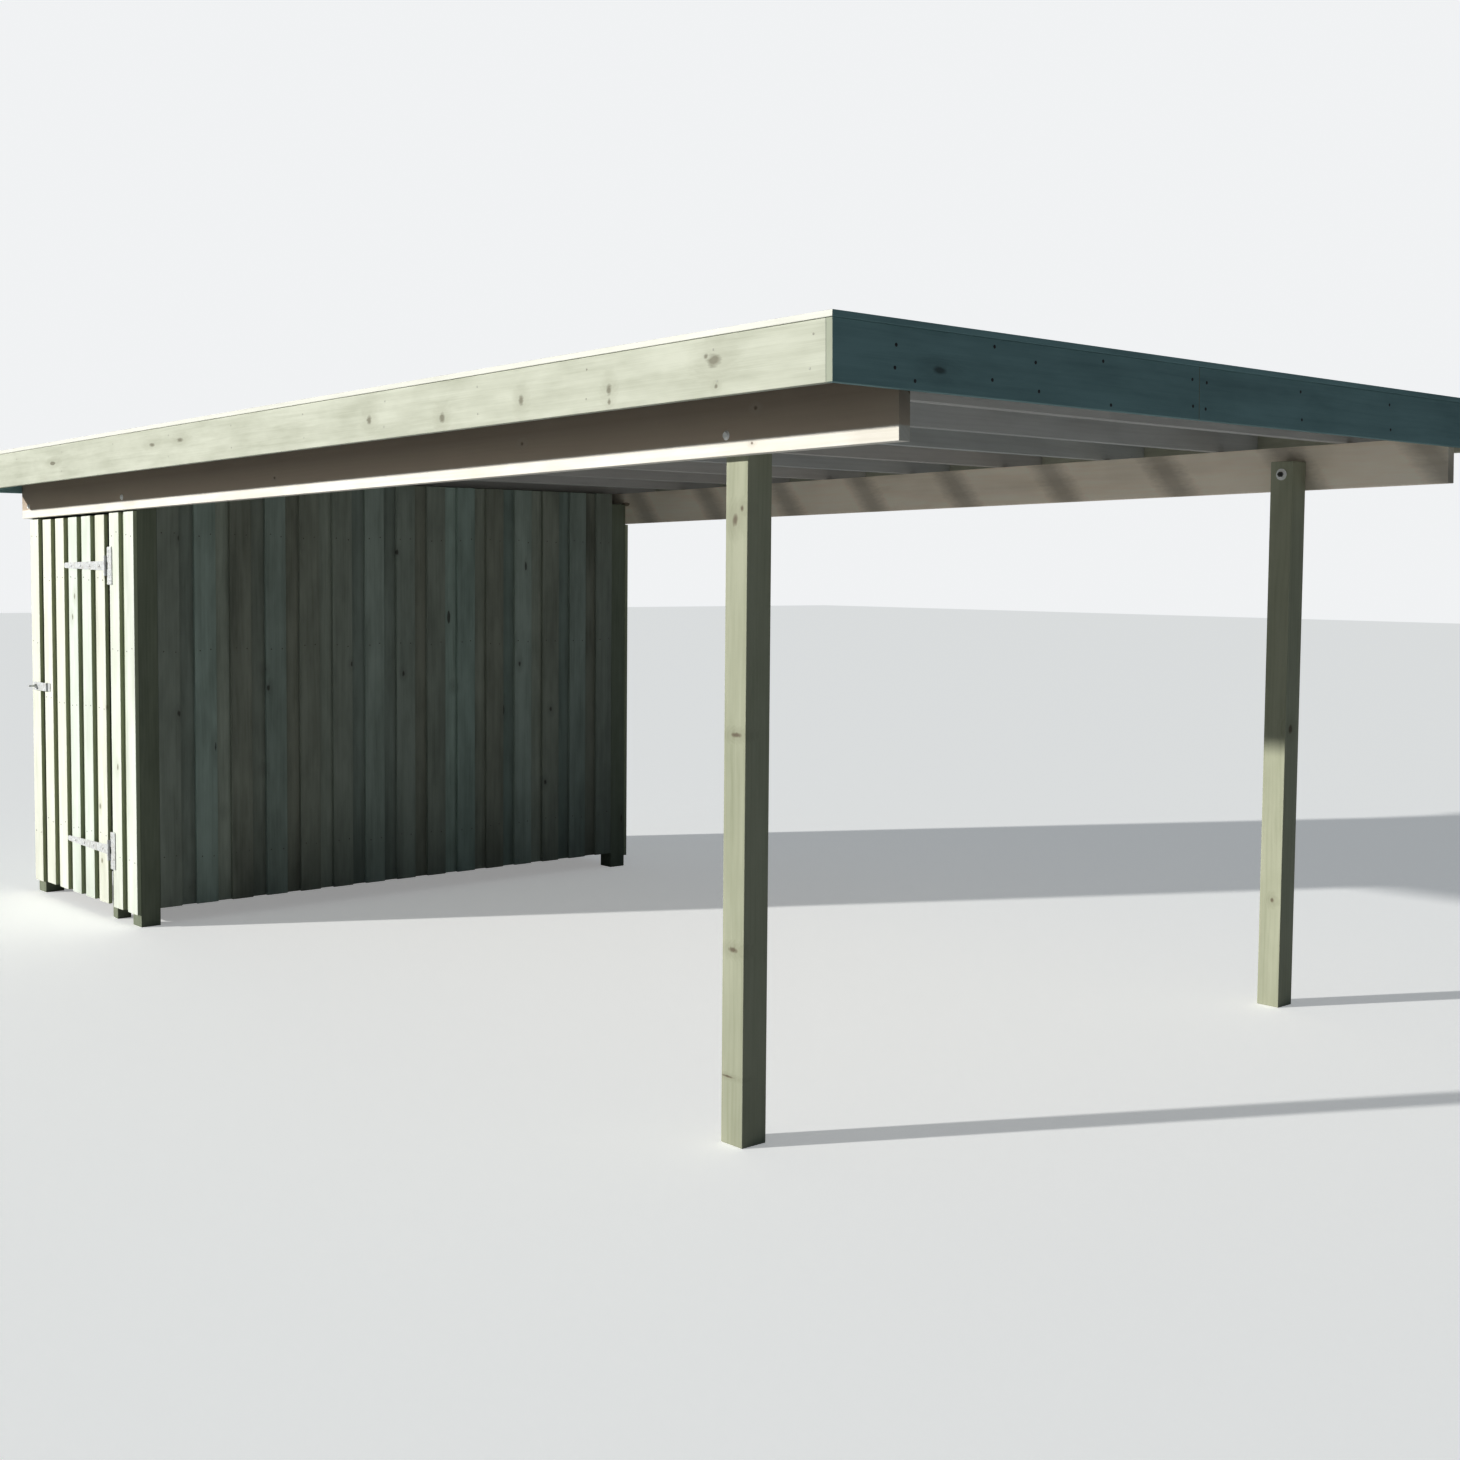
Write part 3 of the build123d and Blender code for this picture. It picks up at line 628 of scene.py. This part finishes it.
# The end walls' boards are a darker, bluer copy of the cladding: painted shade.
shaded_end_clad = wood("end_cladding", (0.42, 0.485, 0.435), (0.235, 0.275, 0.235), (0.07, 0.055, 0.04),
                rings=0.16, blotch=0.65, spread=0.24, knots=0.5, damp=0.2, spots=front_wall_knots)
outer_boards = {}
for wall in ("near_wall", "far_wall"):
    outer_boards[wall] = timber(wall + "_outer", side_clad, upright, 0.002,
                                jitter=0.0006)
    timber(wall + "_under", under_clad, upright, 0.0015)
front_tones = [
    (0.45, 0.5), (0.8, 0.9), (0.3, 0.15), (0.6, 0.85), (0.35, 0.3), (0.5, 0.5), (0.75, 0.8),
    (0.55, 0.6), (0.5, 0.5), (0.75, 0.95), (0.3, 0.1), (0.85, 0.8), (0.5, 0.35), (0.65, 0.8),
    (0.4, 0.5),
]
for wall in ("front_wall", "back_wall"):
    outer_boards[wall] = timber(wall + "_outer", shaded_end_clad, upright, 0.002,
                                front_tones, 0.0006)
    timber(wall + "_under", shaded_end_clad, upright, 0.0015)


# Door
# The same two layers of boards, nailed to three ledges and two braces. It hangs on
# galvanised strap hinges and is fastened by a hasp over a staple.
outer_boards["door"] = timber("door_outer_boards", side_clad, upright, 0.002)
timber("door_under_boards", under_clad, upright, 0.0015)
timber("door_ledges", post_wood, Vector((0, 1, 0)), 0.002)
for node in ("hinge_plates", "hinge_straps", "hasp", "staple"):
    coat(node, steel)


# Nails and screws
# Galvanised nails in pairs through each board into its rail, dulled and stained by the
# wood, and dome-headed screws in the hinges.
nail_steel = galvanised("weathered_nails", (0.24, 0.24, 0.21), (0.14, 0.14, 0.12),
                        (0.10, 0.07, 0.05), 0.5, 0.3)


def heads(name, body, places, radius, height, material, sides=10):
    """Domed heads in one mesh: each place is a point on a face, and the way it faces."""
    bm = bmesh.new()
    for point, facing in places:
        facing = Vector(facing).normalized()
        first = facing.orthogonal().normalized()
        second = facing.cross(first)
        turns = [math.tau * k / sides for k in range(sides)]
        rings = []
        for share, lift in ((1.0, -0.4), (1.0, 0.35), (0.72, 0.8), (0.35, 1.0)):
            rings.append([
                bm.verts.new(Vector(point) + facing * height * lift + radius * share * (
                    first * math.cos(turn) + second * math.sin(turn)))
                for turn in turns
            ])
        for inner, outer in zip(rings[1:], rings):
            for k in range(sides):
                bm.faces.new((outer[k], outer[(k + 1) % sides], inner[(k + 1) % sides], inner[k]))
        bm.faces.new(rings[-1])
        bm.faces.new(rings[0][::-1])
    mesh = bpy.data.meshes.new(name)
    bm.to_mesh(mesh)
    bm.free()
    mesh.materials.append(material)
    piece = stand(name, mesh)
    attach(piece, body)


def rail_levels(boxes, count):
    levels = sorted((low.z + high.z) / 2 for low, high in boxes)
    return [levels[round(i * (len(levels) - 1) / (count - 1))] for i in range(count)]


frame_levels = rail_levels(rails, 3)
door_nail_levels = (0.42, 1.07, 1.72)
faces_out = {
    "near_wall": (-1, 0, 0), "far_wall": (1, 0, 0), "front_wall": (0, -1, 0),
    "back_wall": (0, 1, 0), "door": (-1, 0, 0),
}
dull_zinc = galvanised("dull_zinc", (0.50, 0.51, 0.45), (0.38, 0.39, 0.33), (0.24, 0.22, 0.17),
                       0.5, 0.0)
dark_nails = galvanised("dark_nails", (0.05, 0.055, 0.06), (0.03, 0.03, 0.035),
                        (0.05, 0.035, 0.025), 0.5, 0.0)
nail_radius, nail_height = 0.0036, 0.0010
wall_nails, door_nails = [], []
for wall, boxes in outer_boards.items():
    facing = Vector(faces_out[wall])
    for low, high in boxes:
        for level in door_nail_levels if wall == "door" else frame_levels:
            for side in (-1, 1):
                middle = (low + high) / 2
                point = Vector((middle.x, middle.y, level + rng.uniform(-0.012, 0.012)))
                spread_along = side * (0.032 + rng.uniform(-0.005, 0.005))
                if abs(facing.x) > 0.5:
                    point.x = high.x if facing.x > 0 else low.x
                    point.y += spread_along
                else:
                    point.y = high.y if facing.y > 0 else low.y
                    point.x += spread_along
                (door_nails if wall == "door" else wall_nails).append((point, facing))
fascia_nails, side_fascia_nails = [], []
front_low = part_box("fascia_front")[0]
front_nail_places = [
    (-1.598, 2.410), (-1.603, 2.348), (-1.523, 2.318), (-1.191, 2.440), (-1.200, 2.345),
    (-1.007, 2.410), (-0.991, 2.327), (-0.686, 2.440), (-0.646, 2.310), (-0.220, 2.420),
    (-0.215, 2.335), (-0.140, 2.415), (-0.145, 2.330), (0.420, 2.425), (0.430, 2.330),
    (1.020, 2.420), (1.030, 2.330), (1.560, 2.420), (1.560, 2.330),
]
for x, z in front_nail_places:
    fascia_nails.append(((x, front_low[1] + (z - front_low[2]) * roof_fall, z), (0, -1, 0)))
near_x, far_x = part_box("fascia_near")[0][0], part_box("fascia_far")[1][0]
front_nails_y, nail_rows_z = -3.22, (2.425, 2.335)
first_rafter_y, rafter_pitch, rafter_ends = -2.829, 0.6, 11
for y in [front_nails_y] + [first_rafter_y + rafter_pitch * k for k in range(rafter_ends)]:
    for z in nail_rows_z:
        level = z - (y - roof_start_y) * roof_fall
        for x, out in ((near_x, -1), (far_x, 1)):
            side_fascia_nails.append(((x, y + rng.uniform(-0.01, 0.01), level), (out, 0, 0)))
heads("wall_nails", "carport", wall_nails, nail_radius, nail_height, nail_steel)
heads("door_nails", "door", door_nails, nail_radius, nail_height, nail_steel)
heads("fascia_nails", "carport", fascia_nails, 0.0055, nail_height, dark_nails)
heads("side_fascia_nails", "carport", side_fascia_nails, nail_radius, nail_height, dull_zinc)
plate_low, plate_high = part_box("hinge_plates")
hinge_line_y, plate_middle_y, lower_hinge_z = 2.1933, 2.1563, 0.35
upper_hinge_z = plate_low[2] + plate_high[2] - lower_hinge_z
strap_face_x = -side_face_x - 0.004
strap_screws, plate_screws = [], []
for level in (lower_hinge_z, upper_hinge_z):
    for along in (0.09, 0.21, 0.33, 0.45):
        strap_screws.append(((strap_face_x, hinge_line_y + along, level), (-1, 0, 0)))
    for rise, aside in ((-0.072, -0.010), (-0.044, -0.010), (0.044, 0.010), (0.072, 0.010)):
        plate_screws.append(((strap_face_x, plate_middle_y + aside, level + rise), (-1, 0, 0)))
heads("strap_screws", "door", strap_screws, 0.0070, 0.0035, steel, 14)
heads("plate_screws", "carport", plate_screws, 0.0055, 0.0028, steel, 14)


# Floor, light and camera
# A plain pale floor, one large key from the back left and a cool soft fill. The floor's
# lift reaches the camera alone and throws no light on the carport.
floor_mesh = bpy.data.meshes.new("floor")
reach = 60.0
corners = [(-reach, -reach, 0), (reach, -reach, 0), (reach, reach, 0), (-reach, reach, 0)]
floor_mesh.from_pydata(corners, [], [(0, 1, 2, 3)])
floor = stand("floor", floor_mesh)
pale_floor = Shader(bpy.data.materials.new("pale_floor"))
floor_lift = 0.36
lift = pale_floor.node("ShaderNodeLightPath", output="Is Camera Ray") * floor_lift
lift = pale_floor.node("ShaderNodeCombineColor", {0: lift, 1: lift, 2: lift})
floor_mesh.materials.append(pale_floor.finish(
    Base_Color=(0.87, 0.87, 0.865, 1.0), Roughness=0.9,
    Emission_Color=lift, Emission_Strength=1.0))

room = Shader(bpy.data.worlds.new("soft_room"))
fill = room.node("ShaderNodeBackground", {0: (0.66, 0.85, 1.0, 1.0), 1: 0.13})
backdrop = room.node("ShaderNodeBackground", {0: (0.90, 0.91, 0.92, 1.0)})
seen = room.node("ShaderNodeLightPath", output="Is Camera Ray")
either = room.node("ShaderNodeMixShader", {0: seen, 1: fill, 2: backdrop})
room.tree.links.new(either.socket, room.tree.nodes["World Output"].inputs[0])
bpy.context.scene.world = room.owner

sunlight = Vector((1.0, -0.55, -0.347))
key = stand("key", bpy.data.lights.new("key", "SUN"))
key.data.energy = 4.0
key.data.angle = math.radians(1.4)
key.data.color = (1.0, 0.985, 0.95)
key.rotation_euler = sunlight.to_track_quat("-Z", "Y").to_euler()

view = bpy.context.scene.view_settings
view.view_transform = "Standard"
view.look = "None"
view.gamma = 0.80

photo_side, focal_pixels, middle_row = 1460, 1809.14, 680.23
camera_place = (-5.20067, -6.72444, 1.79865)
camera = stand("camera", bpy.data.cameras.new("camera"))
yaw, pitch, roll = math.radians(41.344), math.radians(-3.506), math.radians(0.474)
ahead = Vector((math.sin(yaw) * math.cos(pitch), math.cos(yaw) * math.cos(pitch), math.sin(pitch)))
right = Vector((math.cos(yaw), -math.sin(yaw), 0.0))
up = right.cross(ahead)
turned_right = right * math.cos(roll) + up * math.sin(roll)
turned_up = up * math.cos(roll) - right * math.sin(roll)
camera.matrix_world = Matrix((
    (turned_right.x, turned_up.x, -ahead.x, camera_place[0]),
    (turned_right.y, turned_up.y, -ahead.y, camera_place[1]),
    (turned_right.z, turned_up.z, -ahead.z, camera_place[2]),
    (0, 0, 0, 1),
))
camera.data.sensor_width = 36.0
camera.data.lens = focal_pixels / photo_side * camera.data.sensor_width
camera.data.shift_y = (middle_row - photo_side / 2) / photo_side
camera.data.clip_end = 200
bpy.context.scene.camera = camera
